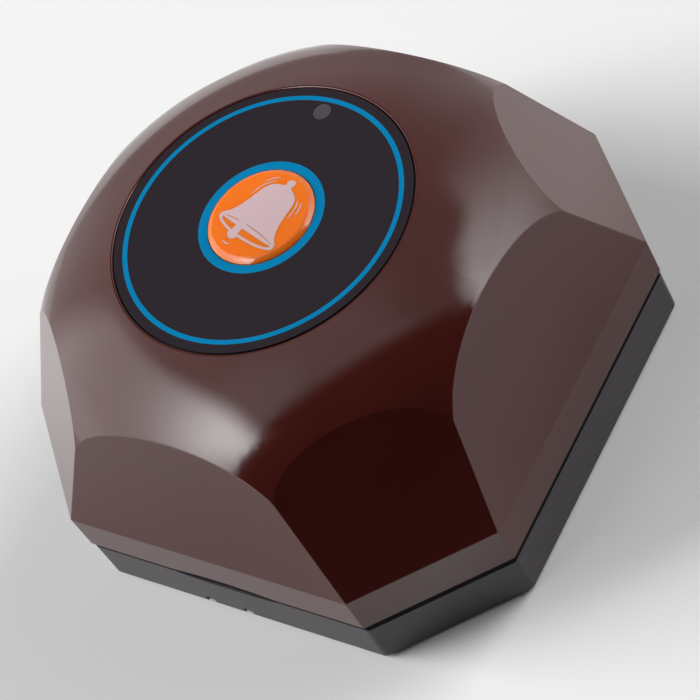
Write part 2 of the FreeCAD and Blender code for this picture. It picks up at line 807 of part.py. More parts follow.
def make_board():
    """Board with cut corners and a hole for each lead and screw that passes through it."""
    board = new_body("board")
    plate = new_sketch(board, lift="board_bottom")
    far_x, far_y = "board_length / 2", "board_width / 2"
    near_x, near_y = f"{far_x} - board_corner_cut", f"{far_y} - board_corner_cut"
    draw(plate, [(far_x, near_y), (near_x, far_y), (f"-({near_x})", far_y), (f"-{far_x}", near_y),
                 (f"-{far_x}", f"-({near_y})"), (f"-({near_x})", f"-{far_y}"), (near_x, f"-{far_y}"),
                 (far_x, f"-({near_y})")])
    holes = [("screw_shank_radius + screw_board_gap", x, y) for x, y in boss_places()]
    for side in (-1, 1):
        holes.append(("led_lead_radius + lead_hole_gap", f"{side} * led_lead_spread / 2", "window_distance"))
        holes.append(("antenna_wire_radius + lead_hole_gap", "antenna_place_x",
                      f"{side} * antenna_length / 2"))
        for row in (-1, 1):
            holes.append(("terminal_width / 2 + lead_hole_gap", f"{side} * terminal_place",
                          f"{row} * terminal_spread / 2"))
    holes.append(("contact_tab_width / 2 + contact_hole_gap", "bay_end - contact_thickness / 2",
                  "battery_place_y"))
    holes.append(("contact_spring_wire_radius + contact_hole_gap", "contact_spring_wire_radius - bay_end",
                  "battery_place_y"))
    for radius, x, y in holes:
        draw_circle(plate, radius, x, y)
    pad(board, plate, "board_thickness")
    keep(board, "circuit_board")


def make_board_screws():
    """Four screws from under the board into the cover's bosses, each with a cross recess in its head."""
    screws = []
    head_foot = "board_bottom - screw_head_height"
    for x, y in boss_places():
        screw = revolved_body("screw", [
            ("0", head_foot), ("screw_head_radius - screw_cross_width", head_foot),
            ("screw_head_radius", f"{head_foot} + screw_cross_width"), ("screw_head_radius", "board_bottom"),
            ("screw_shank_radius", "board_bottom"),
            ("screw_shank_radius", "board_bottom + screw_shank_length - screw_shank_radius"),
            ("0", "board_bottom + screw_shank_length")])
        cross = new_sketch(screw, lift=head_foot)
        arm, side = "screw_cross_length / 2", "screw_cross_width / 2"
        draw(cross, [corner for turns in range(4)
                     for corner in quarter([(arm, f"-{side}"), (arm, side), (side, side)], turns)])
        pocket(screw, cross, "screw_cross_depth", upwards=True)
        place(screw, x, y)
        screws.append(screw)
    keep(group("screws", screws), "board_screws")


def make_lamp():
    """Indicator lamp under the light guide, with its two leads through the board."""
    step = "board_top + led_collar_height"
    lamp = revolved_body("lamp", [
        ("0", "board_top"), ("led_collar_radius", "board_top"), ("led_collar_radius", step),
        ("led_radius", step), ("led_radius", "led_top - led_radius", "led_radius", -1), ("0", "led_top")])
    place(lamp, y="window_distance")
    keep(lamp, "indicator_led")
    leads = [cylinder("lamp_lead", "led_lead_radius", "board_top - lead_end", f"{side} * led_lead_spread / 2",
                      "window_distance", "lead_end") for side in (-1, 1)]
    keep(group("lamp_leads", leads), "led_leads")


def make_chip():
    """Encoder chip with four bent leads on each side."""
    bottom = "board_top + chip_standoff"
    case = block("chip_case", ("chip_place_x - chip_width / 2", "chip_place_y - chip_length / 2", bottom),
                 ("chip_width", "chip_length", "chip_height"))
    keep(case, "encoder_chip")
    wall, knee = "chip_width / 2", "(chip_width + chip_lead_reach) / 2"
    top, foot = f"{bottom} + chip_height / 2", "board_top + chip_lead_thickness"
    leads = []
    for turn in (0.0, HALF_TURN):
        for number in range(CHIP_LEADS_PER_SIDE):
            lead = new_body("chip_lead")
            profile = new_sketch(lead, "XZ_Plane")
            draw(profile, [(wall, f"{top} - chip_lead_thickness"),
                           (f"{knee} - chip_lead_thickness", f"{top} - chip_lead_thickness"),
                           (f"{knee} - chip_lead_thickness", "board_top"),
                           (f"{wall} + chip_lead_reach", "board_top"), (f"{wall} + chip_lead_reach", foot),
                           (knee, foot), (knee, top), (wall, top)])
            pad(lead, profile, "chip_lead_width", both_ways=True)
            lead.Placement.Rotation = FreeCAD.Rotation(UP, turn)
            step = number - (CHIP_LEADS_PER_SIDE - 1) / 2
            place(lead, "chip_place_x", f"chip_place_y + {step} * chip_lead_pitch")
            leads.append(lead)
    keep(group("chip_leads", leads), "encoder_chip_leads")


def make_board_parts():
    """Resonator, transistor, electrolytic can and two rows of small chip parts."""
    step, top = "board_top + resonator_flange_height", "board_top + resonator_height"
    soft = "can_edge_round"
    resonator = revolved_body("resonator", [
        ("0", "board_top"), ("resonator_reach", "board_top"), ("resonator_reach", step),
        ("resonator_radius", step),
        ("resonator_radius", f"{top} - {soft}", soft, -1), (f"resonator_radius - {soft}", top), ("0", top)])
    place(resonator, "resonator_place_x", "resonator_place_y")
    keep(resonator, "resonator_can")

    case = block("transistor_case", ("transistor_place_x - transistor_length / 2",
                                     "transistor_place_y - transistor_width / 2", "board_top"),
                 ("transistor_length", "transistor_width", "transistor_height"))
    legs = []
    for share, side in ((-TRANSISTOR_LEG_SHARE, -1), (TRANSISTOR_LEG_SHARE, -1), (0, 1)):
        middle = f"transistor_place_x + {share} * transistor_length"
        reach = "transistor_width + transistor_leg_reach"
        legs.append(block("transistor_leg", (f"{middle} - transistor_leg_width / 2",
                                             f"transistor_place_y + {side} * ({reach}) / 2 - ({reach}) / 2",
                                             "board_top"),
                          ("transistor_leg_width", reach, "transistor_leg_thickness")))
    keep(joined("transistor", [case] + legs), "rf_transistor")

    top = "board_top + can_height"
    can = revolved_body("can", [
        ("0", "board_top"), ("can_radius", "board_top"), ("can_radius", f"{top} - {soft}", soft, -1),
        (f"can_radius - {soft}", top), ("0", top)])
    place(can, "can_place_x", "can_place_y")
    keep(can, "electrolytic_capacitor")

    for label, row in (("chip_resistors", "resistor_row_y"), ("chip_capacitors", "capacitor_row_y")):
        parts = []
        for number in range(SMALL_PARTS_PER_ROW):
            side = f"small_part_row_x + {number} * small_part_pitch - small_part_width / 2"
            parts.append(block("small_part", (side, f"{row} - small_part_length / 2", "board_top"),
                               ("small_part_width", "small_part_length", "small_part_height")))
        keep(group(label + "_row", parts), label)


def coil(name, radius, length, turns, wire_radius, rotation, spot):
    """Wire wound round an axis; the winding starts at its own +X side."""
    path = doc.addObject("Part::Helix", name + "_path")
    bind(path, "Radius", radius)
    bind(path, "Height", length)
    bind(path, "Pitch", f"({length}) / {turns}")
    ring = doc.addObject("Part::Circle", name + "_section")
    bind(ring, "Radius", wire_radius)
    ring.Placement.Rotation = FreeCAD.Rotation(FreeCAD.Vector(1, 0, 0), QUARTER_TURN)
    place(ring, x=radius)
    winding = doc.addObject("Part::Sweep", name)
    winding.Sections = [ring]
    winding.Spine = (path, ["Edge1"])
    winding.Solid = True
    winding.Frenet = True
    winding.Placement.Rotation = rotation
    place(winding, *spot)
    return winding


def make_antenna():
    """Coiled wire antenna that lies along the board's side on two legs."""
    along = FreeCAD.Rotation(FreeCAD.Vector(0, 0, -1), FreeCAD.Vector(-1, 0, 0), FreeCAD.Vector(0, 1, 0),
                             "ZXY")
    wire_z = "board_top + antenna_lift + antenna_wire_radius"
    winding = coil("antenna_winding", "antenna_radius", "antenna_length", ANTENNA_TURNS,
                   "antenna_wire_radius", along,
                   ("antenna_place_x", "-antenna_length / 2", f"{wire_z} + antenna_radius"))
    legs = [cylinder("antenna_leg", "antenna_wire_radius", f"{wire_z} - lead_end", "antenna_place_x",
                     f"{side} * antenna_length / 2", "lead_end") for side in (-1, 1)]
    keep(joined("antenna", [winding] + legs), "coil_antenna")


# Battery, its holder and contacts


def make_battery():
    soft = "battery_edge_round"
    battery = revolved_body("battery", [
        ("0", "0"), (f"battery_radius - {soft}", "0", soft, -1), ("battery_radius", soft),
        ("battery_radius", f"cell_length - {soft}", soft, -1), (f"battery_radius - {soft}", "cell_length"),
        ("battery_nub_radius", "cell_length"), ("battery_nub_radius", "battery_length"),
        ("0", "battery_length")])
    battery.Placement.Rotation = FreeCAD.Rotation(FreeCAD.Vector(0, 1, 0), QUARTER_TURN)
    place(battery, "battery_start", "battery_place_y", "battery_z")
    keep(battery, "battery")


def make_holder():
    """Cradle under the board, open downwards, with a slot and a hole for the contacts in its floor."""
    holder = new_body("holder")
    left, right = "battery_place_y - holder_half_width", "battery_place_y + holder_half_width"
    outside = new_sketch(holder, "YZ_Plane")
    draw(outside, rectangle(left, "holder_bottom", right, "board_bottom"))
    pad(holder, outside, "2 * holder_half_length", both_ways=True)
    ends = new_sketch(holder, lift="battery_z - holder_end_reach")
    for low, high in (("-holder_half_length", "-bay_end"), ("bay_end", "holder_half_length")):
        draw(ends, rectangle(low, left, high, right))
    pad(holder, ends, "holder_top - battery_z + holder_end_reach")
    bay = new_sketch(holder, "YZ_Plane", lift="-bay_end")
    low, high = "battery_place_y - bay_radius", "battery_place_y + bay_radius"
    draw(bay, [(low, "battery_z", "bay_radius", 1),
               ("battery_place_y", "battery_z + bay_radius", "bay_radius", 1), (high, "battery_z"),
               (high, "holder_bottom - overrun"), (low, "holder_bottom - overrun")])
    pocket(holder, bay, "bay_length", upwards=True)
    slots = new_sketch(holder, lift="board_bottom")
    tab = "contact_tab_width / 2 + contact_hole_gap"
    draw(slots, rectangle("bay_end - contact_thickness - contact_hole_gap", f"battery_place_y - ({tab})",
                          "bay_end + contact_hole_gap", f"battery_place_y + {tab}"))
    draw_circle(slots, "contact_spring_wire_radius + contact_hole_gap",
                "contact_spring_wire_radius - bay_end", "battery_place_y")
    pocket(holder, slots, "board_bottom - battery_z")
    keep(holder, "battery_holder")


def make_contacts():
    """Flat contact for the nub end and a coil spring contact for the other, each soldered to the board."""
    low = "battery_z - holder_end_reach"
    back = "bay_end - contact_thickness"
    plate = block("contact_leaf", (back, "battery_place_y - contact_width / 2", low),
                  ("contact_thickness", "contact_width", "holder_end_reach + contact_rise"))
    tab = block("contact_tab", (back, "battery_place_y - contact_tab_width / 2", "battery_z"),
                ("contact_thickness", "contact_tab_width", "tab_top - battery_z"))
    keep(joined("flat_contact", [plate, tab]), "battery_contact_plate")

    along = FreeCAD.Rotation(FreeCAD.Vector(0, 0, 1), FreeCAD.Vector(0, -1, 0), FreeCAD.Vector(1, 0, 0),
                             "ZXY")
    wire = "contact_spring_wire_radius"
    winding = coil("spring_winding", "contact_spring_radius", f"contact_spring_length - 2 * {wire}",
                   CONTACT_SPRING_TURNS, wire, along, (f"{wire} - bay_end", "battery_place_y", "battery_z"))
    start = "battery_z + contact_spring_radius"
    tail = cylinder("spring_tail", wire, f"tab_top - ({start})", f"{wire} - bay_end", "battery_place_y",
                    start)
    keep(joined("spring_contact", [winding, tail]), "battery_contact_spring")


def check(document):
    """Stop if any object failed or any piece has no sound solid."""
    document.recompute()
    failed = [item.Name for item in document.Objects if {"Invalid", "Error"} & set(item.State)]
    if failed:
        raise RuntimeError("failed objects: " + ", ".join(failed))
    for piece in pieces:
        if piece.Shape.isNull() or not piece.Shape.isValid() or not piece.Shape.Solids:
            raise RuntimeError("unsound piece: " + piece.Label)


make_cover()
make_base()
make_gasket()
make_feet()
make_label()
make_light_guide()
make_key()
make_switch()
make_board()
make_board_screws()
make_lamp()
make_chip()
make_board_parts()
make_antenna()
make_battery()
make_holder()
make_contacts()
check(doc)

os.makedirs("parts", exist_ok=True)
for piece in pieces:
    piece.Shape.exportStep(f"parts/{piece.Label}.step")
    print(f"{piece.Label}: {len(piece.Shape.Solids)} solids, {piece.Shape.Volume:.1f} mm3")
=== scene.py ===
"""Waiter call button: finishes, printed marks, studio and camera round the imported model."""
import json
import math

import bmesh
import bpy
from mathutils import Matrix, Vector


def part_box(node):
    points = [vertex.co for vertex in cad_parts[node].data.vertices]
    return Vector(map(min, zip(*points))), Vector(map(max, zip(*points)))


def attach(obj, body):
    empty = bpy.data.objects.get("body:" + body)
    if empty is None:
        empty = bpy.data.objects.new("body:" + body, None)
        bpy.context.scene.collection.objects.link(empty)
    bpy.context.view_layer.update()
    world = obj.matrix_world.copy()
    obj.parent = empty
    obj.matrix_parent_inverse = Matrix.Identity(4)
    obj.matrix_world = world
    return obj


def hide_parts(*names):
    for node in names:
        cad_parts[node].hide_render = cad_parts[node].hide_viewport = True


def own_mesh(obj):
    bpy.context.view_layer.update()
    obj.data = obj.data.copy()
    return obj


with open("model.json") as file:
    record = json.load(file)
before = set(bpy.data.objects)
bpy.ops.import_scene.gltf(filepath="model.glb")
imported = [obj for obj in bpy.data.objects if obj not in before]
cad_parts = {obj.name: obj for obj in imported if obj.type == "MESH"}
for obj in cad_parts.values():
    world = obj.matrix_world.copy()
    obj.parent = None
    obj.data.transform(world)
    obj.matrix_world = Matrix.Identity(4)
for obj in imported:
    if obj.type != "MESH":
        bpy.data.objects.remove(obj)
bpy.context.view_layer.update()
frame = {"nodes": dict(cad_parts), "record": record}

MM = 0.001

# Printed marks, in millimetres, on the label and on the key
LABEL_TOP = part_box("label_overlay")[1].z / MM
KEY_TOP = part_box("key_cap")[1].z / MM
KEY_CROWN_RISE = 0.3
KEY_CROWN_HALF_WIDTH = 6.55
INK_THICKNESS = 0.012
OUTER_RING_RADII = (18.53, 19.2)
KEY_RING_RADII = (7.42, 8.64)
RING_SIDES = 256
PRINT_GRID = 0.4
PRINT_CUT_REACH = 1e-4

# Camera fitted to the photograph: its place in metres, its axes, then lens and sensor in millimetres
CAMERA_PLACE = (0.198337, -0.136196, 0.284422)
CAMERA_RIGHT = (0.815703, 0.448048, -0.365899)
CAMERA_DOWN = (0.201174, -0.812762, -0.546760)
CAMERA_AHEAD = (-0.542363, 0.372384, -0.753108)
CAMERA_LENS = 140.21
CAMERA_SENSOR = 36.0
CAMERA_NEAR = 0.01

# Floor, in metres: it fades to white between two distances from its middle
FLOOR_RADIUS = 0.22
FLOOR_FADE = (0.13, 0.21)
FLOOR_SIDES = 128
FLOOR_DROP = 0.00002
FLOOR_WHITE = 0.82
FLOOR_ROUGHNESS = 0.9
FLOOR_GLOSS = 0.1

# Lamps: names, bearings and heights in degrees and powers in watts, then size and distance in metres
LAMPS = (("left_lamp", -155.0, 30.0, 60.0), ("right_lamp", 66.0, 30.0, 43.0))
LAMP_SIZE = 1.5
LAMP_DISTANCE = 2.4

# Tent round the part as its gloss mirrors it. Bearings and heights are in degrees and levels are shares of
# white. A fade is where it starts and where it ends, in degrees but for MOUTH_AHEAD and GAP_EDGE, which are
# shares of a direction. Rays that don't mirror get TENT_SHARE of what the gloss sees.
STUDIO_LEVEL = 0.84
TENT_LEVEL = 0.88
TENT_SHARE = 0.26
LEFT_PANEL_BEARING = -122.0
LEFT_PANEL_LEVEL = 1.5
LEFT_PANEL_SIDES = ((-64.0, -52.0), (17.0, 22.0))
LEFT_PANEL_FOOT_SHARE, LEFT_PANEL_FOOT = 0.5, (-14.0, 12.0)
LEFT_PANEL_TOP = (52.2, 61.5)
LEFT_PANEL_TOP_BEND = 0.008
SPOT_LEVEL = 8.1
SPOT_PLACE = (7.0, 51.0)
SPOT_SPREAD = (28.0, 17.0)
RIGHT_PANEL_BEARING = 50.0
RIGHT_PANEL_LEVEL = 3.9
RIGHT_PANEL_LEAN = 0.29
RIGHT_PANEL_SIDES = ((-35.5, -30.5), (-2.0, 50.0))
RIGHT_PANEL_EDGE_GAIN = 0.3
RIGHT_PANEL_EDGE = (-24.0, -10.0)
RIGHT_PANEL_FOOT = (-14.0, 46.0)
RIGHT_PANEL_TOP = (50.3, 59.3)
RIGHT_PANEL_TOP_SLOPE = 0.06
RIGHT_PANEL_FAR_DROP, RIGHT_PANEL_FAR_END = 7.3, (8.0, 28.0)
RIGHT_PANEL_NEAR_DROP, RIGHT_PANEL_NEAR_END = 2.5, (-20.0, -4.0)
DIM_SIDE_BEARING = 65.0
DIM_SIDE_DEPTH = 0.42
DIM_SIDE_WIDTH = ((-55.0, -30.0), (40.0, 75.0))
DIM_SIDE_HEIGHT = ((5.0, 45.0), (66.0, 88.0))
DIM_BACK_BEARING = 140.0
DIM_BACK_DEPTH = 0.22
DIM_BACK_WIDTH = ((-36.0, -22.0), (12.0, 30.0))
DIM_BACK_TOP = (40.0, 64.0)
DIM_BACK_FOOT_DEPTH, DIM_BACK_FOOT = 0.25, (-6.0, 8.0)
GLOW_LEVEL = 0.28
GLOW_WIDTH = ((-36.0, -6.0), (14.0, 34.0))
GLOW_HEIGHT = ((52.0, 64.0), (72.0, 84.0))
MOUTH_BEARING = -40.0
MOUTH_DEPTH = 0.995
MOUTH_SIDES = ((-63.5, -58.5), (-36.5, -31.5))
MOUTH_AHEAD_BEARING, MOUTH_AHEAD = -37.0, (0.155, 0.262)
GAP_PLACE = (145.0, 49.0)
GAP_DEPTH = 0.88
GAP_EDGE = (0.86, 0.965)


class Value:
    """A socket that takes part in sums; each sum adds a Math node."""

    def __init__(self, net, socket):
        self.net = net
        self.socket = socket

    def __add__(self, other):
        return self.net.maths("ADD", self, other)

    def __radd__(self, other):
        return self.net.maths("ADD", other, self)

    def __sub__(self, other):
        return self.net.maths("SUBTRACT", self, other)

    def __rsub__(self, other):
        return self.net.maths("SUBTRACT", other, self)

    def __mul__(self, other):
        return self.net.maths("MULTIPLY", self, other)

    def __rmul__(self, other):
        return self.net.maths("MULTIPLY", other, self)

    def __truediv__(self, other):
        return self.net.maths("DIVIDE", self, other)


class Net:
    """Node tree of a material or of the world."""

    def __init__(self, tree):
        self.tree = tree
        tree.nodes.clear()

    def add(self, kind, settings=None, inputs=None, output=0):
        """Add a node: its settings are set first, then its inputs get a number or a link."""
        node = self.tree.nodes.new(kind)
        for name, setting in (settings or {}).items():
            setattr(node, name, setting)
        for key, value in (inputs or {}).items():
            if isinstance(value, Value):
                self.tree.links.new(value.socket, node.inputs[key])
            else:
                node.inputs[key].default_value = value
        return Value(self, node.outputs[output]) if len(node.outputs) else node

    def maths(self, operation, first, second=0.0):
        return self.add("ShaderNodeMath", {"operation": operation}, {0: first, 1: second})

    def step(self, value, low, high):
        """Smooth rise from 0 at low to 1 at high."""
        return self.add("ShaderNodeMapRange", {"interpolation_type": "SMOOTHSTEP"},
                        {"Value": value, "From Min": low, "From Max": high})

    def mix(self, share, first, second):
        """Colour between first and second."""
        return self.add("ShaderNodeMix", {"data_type": "RGBA"}, {0: share, 6: first, 7: second}, output=2)

    def band(self, value, sides):
        """1 between the first side's fade and the second's, and 0 outside them."""
        start, end = sides
        return self.step(value, *start) * (1 - self.step(value, *end))

    def noise(self, place, scale, detail):
        return self.add("ShaderNodeTexNoise", None, {"Vector": place, "Scale": scale, "Detail": detail})


def colour(red, green, blue):
    """Linear colour with full cover."""
    return (red, green, blue, 1.0)


WHITE = colour(1.0, 1.0, 1.0)

# Slow clouds in every finish, their scale per metre, and how they and the grain tint it
CLOUD_SCALE = 60.0
CLOUD_DETAIL = 3.0
GRAIN_DETAIL = 2.0
GRAIN_SHARE = 0.06
TINT_FADE = (0.3, 0.7)


def new_material(name, base, shade, roughness, rough_spread, grain, grain_height, metallic, constants):
    """Finish whose colour, roughness and fine relief vary over the surface."""
    material = bpy.data.materials.new(name)
    material.use_nodes = True
    net = Net(material.node_tree)
    place = net.add("ShaderNodeTexCoord", output="Object")
    cloud = net.noise(place, CLOUD_SCALE, CLOUD_DETAIL)
    fine = net.noise(place, grain, GRAIN_DETAIL)
    tint = net.step(cloud + (fine - 0.5) * GRAIN_SHARE, *TINT_FADE)
    bump = net.add("ShaderNodeBump", None, {"Strength": 1.0, "Distance": grain_height * MM, "Height": fine})
    inputs = {"Base Color": net.mix(tint, colour(*base), colour(*shade)),
              "Roughness": roughness + (cloud - 0.5) * rough_spread, "Normal": bump, "Metallic": metallic}
    inputs.update(constants)
    shader = net.add("ShaderNodeBsdfPrincipled", None, inputs)
    net.add("ShaderNodeOutputMaterial", None, {"Surface": shader})
    return material


# Finish of each slot: base colour, its shade, roughness, its spread, grain scale per metre, grain height in
# millimetres, then metallic, and the shader's own constants
GLOSS = {"IOR": 1.57}
# Gasket rubber with its reflection almost taken away: partly the rubber's own dull black, partly painted
# shade that darkens the seam between cover and base.
SEAM_SHADE_DULL = {"Specular IOR Level": 0.08}
SOFT_GLOW = {"IOR": 1.57, "Subsurface Weight": 0.7, "Subsurface Radius": (1.0, 0.35, 0.08),
             "Subsurface Scale": 0.0016}
FINISHES = {
    "cover_plastic": ((0.066, 0.0112, 0.0085), (0.06, 0.0098, 0.0076), 0.1, 0.03, 2600.0, 0.0005, 0.0, GLOSS),
    "base_plastic": ((0.031, 0.0245, 0.03), (0.027, 0.0215, 0.026), 0.36, 0.08, 3800.0, 0.004, 0.0, {}),
    # Gasket: near-black and almost without reflection, partly its own colour and partly painted shade in the
    # seam.
    "gasket_rubber": ((0.005, 0.005, 0.006), (0.008, 0.008, 0.009), 0.8, 0.1, 2500.0, 0.004, 0.0, SEAM_SHADE_DULL),
    "foot_rubber": ((0.012, 0.012, 0.013), (0.02, 0.02, 0.021), 0.72, 0.12, 2500.0, 0.006, 0.0, {}),
    "label_film": ((0.0245, 0.019, 0.0245), (0.0225, 0.0175, 0.0225), 0.2, 0.05, 3000.0, 0.0004, 0.0, {}),
    "adhesive_film": ((0.7, 0.69, 0.64), (0.62, 0.61, 0.56), 0.3, 0.1, 1500.0, 0.002, 0.0, {}),
    "clear_plastic": ((0.074, 0.07, 0.074), (0.066, 0.0625, 0.066), 0.2, 0.06, 2500.0, 0.001, 0.0, {}),
    "key_plastic": ((0.93, 0.2, 0.017), (0.89, 0.19, 0.015), 0.1, 0.03, 2600.0, 0.0004, 0.0, SOFT_GLOW),
    "switch_plastic": ((0.02, 0.02, 0.021), (0.03, 0.03, 0.031), 0.5, 0.1, 3000.0, 0.003, 0.0, {}),
    "spring_steel": ((0.6, 0.57, 0.52), (0.5, 0.48, 0.44), 0.28, 0.12, 4000.0, 0.001, 1.0, {}),
    "tinned_metal": ((0.7, 0.69, 0.66), (0.58, 0.57, 0.55), 0.32, 0.14, 3500.0, 0.0015, 1.0, {}),
    "board_laminate": ((0.012, 0.12, 0.035), (0.018, 0.16, 0.05), 0.3, 0.08, 1200.0, 0.003, 0.0, {}),
    "screw_steel": ((0.55, 0.55, 0.57), (0.42, 0.42, 0.44), 0.34, 0.16, 3500.0, 0.0015, 1.0, {}),
    "led_epoxy": ((0.6, 0.03, 0.02), (0.5, 0.02, 0.015), 0.12, 0.04, 2000.0, 0.0005, 0.0, {}),
    "chip_resin": ((0.012, 0.012, 0.013), (0.022, 0.022, 0.023), 0.55, 0.1, 4500.0, 0.005, 0.0, {}),
    "capacitor_sleeve": ((0.01, 0.014, 0.06), (0.014, 0.02, 0.075), 0.25, 0.06, 2000.0, 0.001, 0.0, {}),
    "resistor_glaze": ((0.015, 0.015, 0.017), (0.035, 0.035, 0.037), 0.3, 0.08, 3500.0, 0.002, 0.0, {}),
    "capacitor_ceramic": ((0.36, 0.22, 0.1), (0.3, 0.18, 0.08), 0.45, 0.1, 3500.0, 0.003, 0.0, {}),
    "copper_wire": ((0.72, 0.3, 0.12), (0.58, 0.22, 0.08), 0.25, 0.1, 3000.0, 0.0015, 1.0, {}),
    "battery_steel": ((0.5, 0.5, 0.52), (0.4, 0.4, 0.42), 0.3, 0.12, 3000.0, 0.0015, 1.0, {}),
    "holder_plastic": ((0.02, 0.02, 0.021), (0.028, 0.028, 0.03), 0.5, 0.1, 3000.0, 0.004, 0.0, {}),
}
INKS = {
    "blue_ink": ((0.0, 0.207, 0.44), (0.0, 0.195, 0.415), 0.2, 0.05, 2600.0, 0.0004, 0.0, {}),
    "pale_ink": ((0.61, 0.447, 0.47), (0.585, 0.428, 0.45), 0.2, 0.05, 2600.0, 0.0004, 0.0, {}),
}


finishes = {name: new_material(name, *finish) for name, finish in {**FINISHES, **INKS}.items()}


def finish_solids():
    """Give each solid the finish of its slot, and shade the large moulded ones evenly up to their edges."""
    for subpart in frame["record"]["subparts"]:
        node = frame["nodes"][subpart["node"]]
        node.data.materials.clear()
        node.data.materials.append(finishes[subpart["material_slot"]])
    for name in ("top_cover", "base_plate", "key_cap"):
        even = frame["nodes"][name].modifiers.new("even_shading", "WEIGHTED_NORMAL")
        even.mode = "FACE_AREA"
        even.keep_sharp = True


def new_piece(name, mesh, material, body):
    """Link a finished mesh as a piece that moves with a body."""
    mesh.materials.append(material)
    piece = bpy.data.objects.new(name, mesh)
    bpy.context.scene.collection.objects.link(piece)
    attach(piece, body)
    return piece


def key_crown(x, y):
    """Height of the key's crown in millimetres over a point of its plan."""
    radius = (KEY_CROWN_HALF_WIDTH ** 2 + KEY_CROWN_RISE ** 2) / (2 * KEY_CROWN_RISE)
    return KEY_TOP - radius + math.sqrt(radius ** 2 - x ** 2 - y ** 2)


def flat_top(x, y):
    """Height of the label in millimetres, the same all over."""
    return LABEL_TOP


def ink_mesh(name, outlines, height):
    """Thin film of ink on a height, from closed outlines in plan, of which all but the first are holes."""
    sheet = bmesh.new()
    edges = []
    for outline in outlines:
        corners = [sheet.verts.new((x, y, 0.0)) for x, y in outline]
        edges += [sheet.edges.new((corners[n - 1], corners[n])) for n in range(len(corners))]
    bmesh.ops.triangle_fill(sheet, use_beauty=True, use_dissolve=False, edges=edges, normal=(0.0, 0.0, 1.0))
    low = [min(v.co[axis] for v in sheet.verts) for axis in (0, 1)]
    high = [max(v.co[axis] for v in sheet.verts) for axis in (0, 1)]
    if height is not flat_top:
        for axis in (0, 1):
            line = low[axis] + PRINT_GRID
            while line < high[axis]:
                cut_place, cut_normal = [0.0, 0.0, 0.0], [0.0, 0.0, 0.0]
                cut_place[axis], cut_normal[axis] = line, 1.0
                bmesh.ops.bisect_plane(sheet, geom=sheet.verts[:] + sheet.edges[:] + sheet.faces[:],
                                       plane_co=cut_place, plane_no=cut_normal, dist=PRINT_CUT_REACH)
                line += PRINT_GRID
    bmesh.ops.recalc_face_normals(sheet, faces=sheet.faces[:])
    if sheet.faces and sum(face.normal.z for face in sheet.faces) < 0:
        bmesh.ops.reverse_faces(sheet, faces=sheet.faces[:])
    base = bmesh.ops.extrude_face_region(sheet, geom=sheet.faces[:])
    raised = {item for item in base["geom"] if isinstance(item, bmesh.types.BMVert)}
    for vert in sheet.verts:
        lift = INK_THICKNESS if vert in raised else -INK_THICKNESS
        vert.co.z = height(vert.co.x, vert.co.y) + lift
    bmesh.ops.recalc_face_normals(sheet, faces=sheet.faces[:])
    bmesh.ops.scale(sheet, vec=(MM, MM, MM), verts=sheet.verts[:])
    mesh = bpy.data.meshes.new(name)
    sheet.to_mesh(mesh)
    sheet.free()
    return mesh


def ring(radius, sides=RING_SIDES):
    """Corners of a circle about the part's middle."""
    return [(radius * math.cos(math.tau * n / sides), radius * math.sin(math.tau * n / sides))
            for n in range(sides)]


# Bell mark: drawn upright round its own middle in millimetres, then leant over and moved onto the key
BELL_LEAN = -17.6
BELL_SCALE = 1.03
BELL_PLACE = (0.88, 1.26)
CURVE_STEPS = 10


def between(a, b, c, d, t):
    """Place on a smooth curve through four numbers, at share t of the way from b to c."""
    bend = 2 * a - 5 * b + 4 * c - d
    twist = 3 * b - a - 3 * c + d
    return 0.5 * (2 * b + (c - a) * t + bend * t ** 2 + twist * t ** 3)


def curve(points):
    """Smooth open line through points."""
    ends = [points[0]] + list(points) + [points[-1]]
    line = []
    for four in zip(ends, ends[1:], ends[2:], ends[3:]):
        for n in range(CURVE_STEPS):
            line.append(tuple(between(*[point[axis] for point in four], n / CURVE_STEPS) for axis in (0, 1)))
    return line + [points[-1]]


def leant(outline):
    """Points of the bell mark in the key's plan."""
    turn = math.radians(BELL_LEAN)
    cos, sin = BELL_SCALE * math.cos(turn), BELL_SCALE * math.sin(turn)
    return [(x * cos - y * sin + BELL_PLACE[0], x * sin + y * cos + BELL_PLACE[1]) for x, y in outline]


def stroke(line, width, taper):
    """Closed outline of a stroke along a line; it thins towards both ends by the taper."""
    left, right = [], []
    for n, point in enumerate(line):
        before, after = line[max(n - 1, 0)], line[min(n + 1, len(line) - 1)]
        along = Vector((after[0] - before[0], after[1] - before[1])).normalized()
        half = width / 2 * (1 - taper * abs(2 * n / (len(line) - 1) - 1) ** 2)
        left.append((point[0] - along.y * half, point[1] + along.x * half))
        right.append((point[0] + along.y * half, point[1] - along.x * half))
    return left + right[::-1]


BELL_SIDE = [
    (0.0, 4.57), (0.44, 4.4), (0.62, 3.98), (0.48, 3.6), (0.72, 3.34), (1.4, 3.1), (2.2, 2.6),
    (2.74, 1.65), (3.02, 0.4), (3.3, -0.9), (3.72, -2.1), (4.3, -3.05), (4.95, -3.62), (5.12, -4.1),
]
RIM_MIDDLE, RIM_HALF_WIDTH, RIM_HALF_HEIGHT = -4.1, 5.12, 1.32
RIM_STEPS = 120
OPENING_HALF_WIDTH, OPENING_HALF_HEIGHT, INNER_EDGE_DROP = 4.6, 0.98, 0.12
OPENING_STEPS = 30
OPENING_CORNER = 1e-6
BALL_PLACE, BALL_RADIUS, BALL_STEM_HALF_WIDTH = (-1.2, -5.2), 0.88, 0.6
FAR_EDGE_RISE, FAR_EDGE_WIDTH, FAR_EDGE_TAPER = 0.62, 0.11, 0.7
FAR_EDGE_SHARE = 0.96
MOTION_WIDTH, MOTION_TAPER = 0.17, 0.6
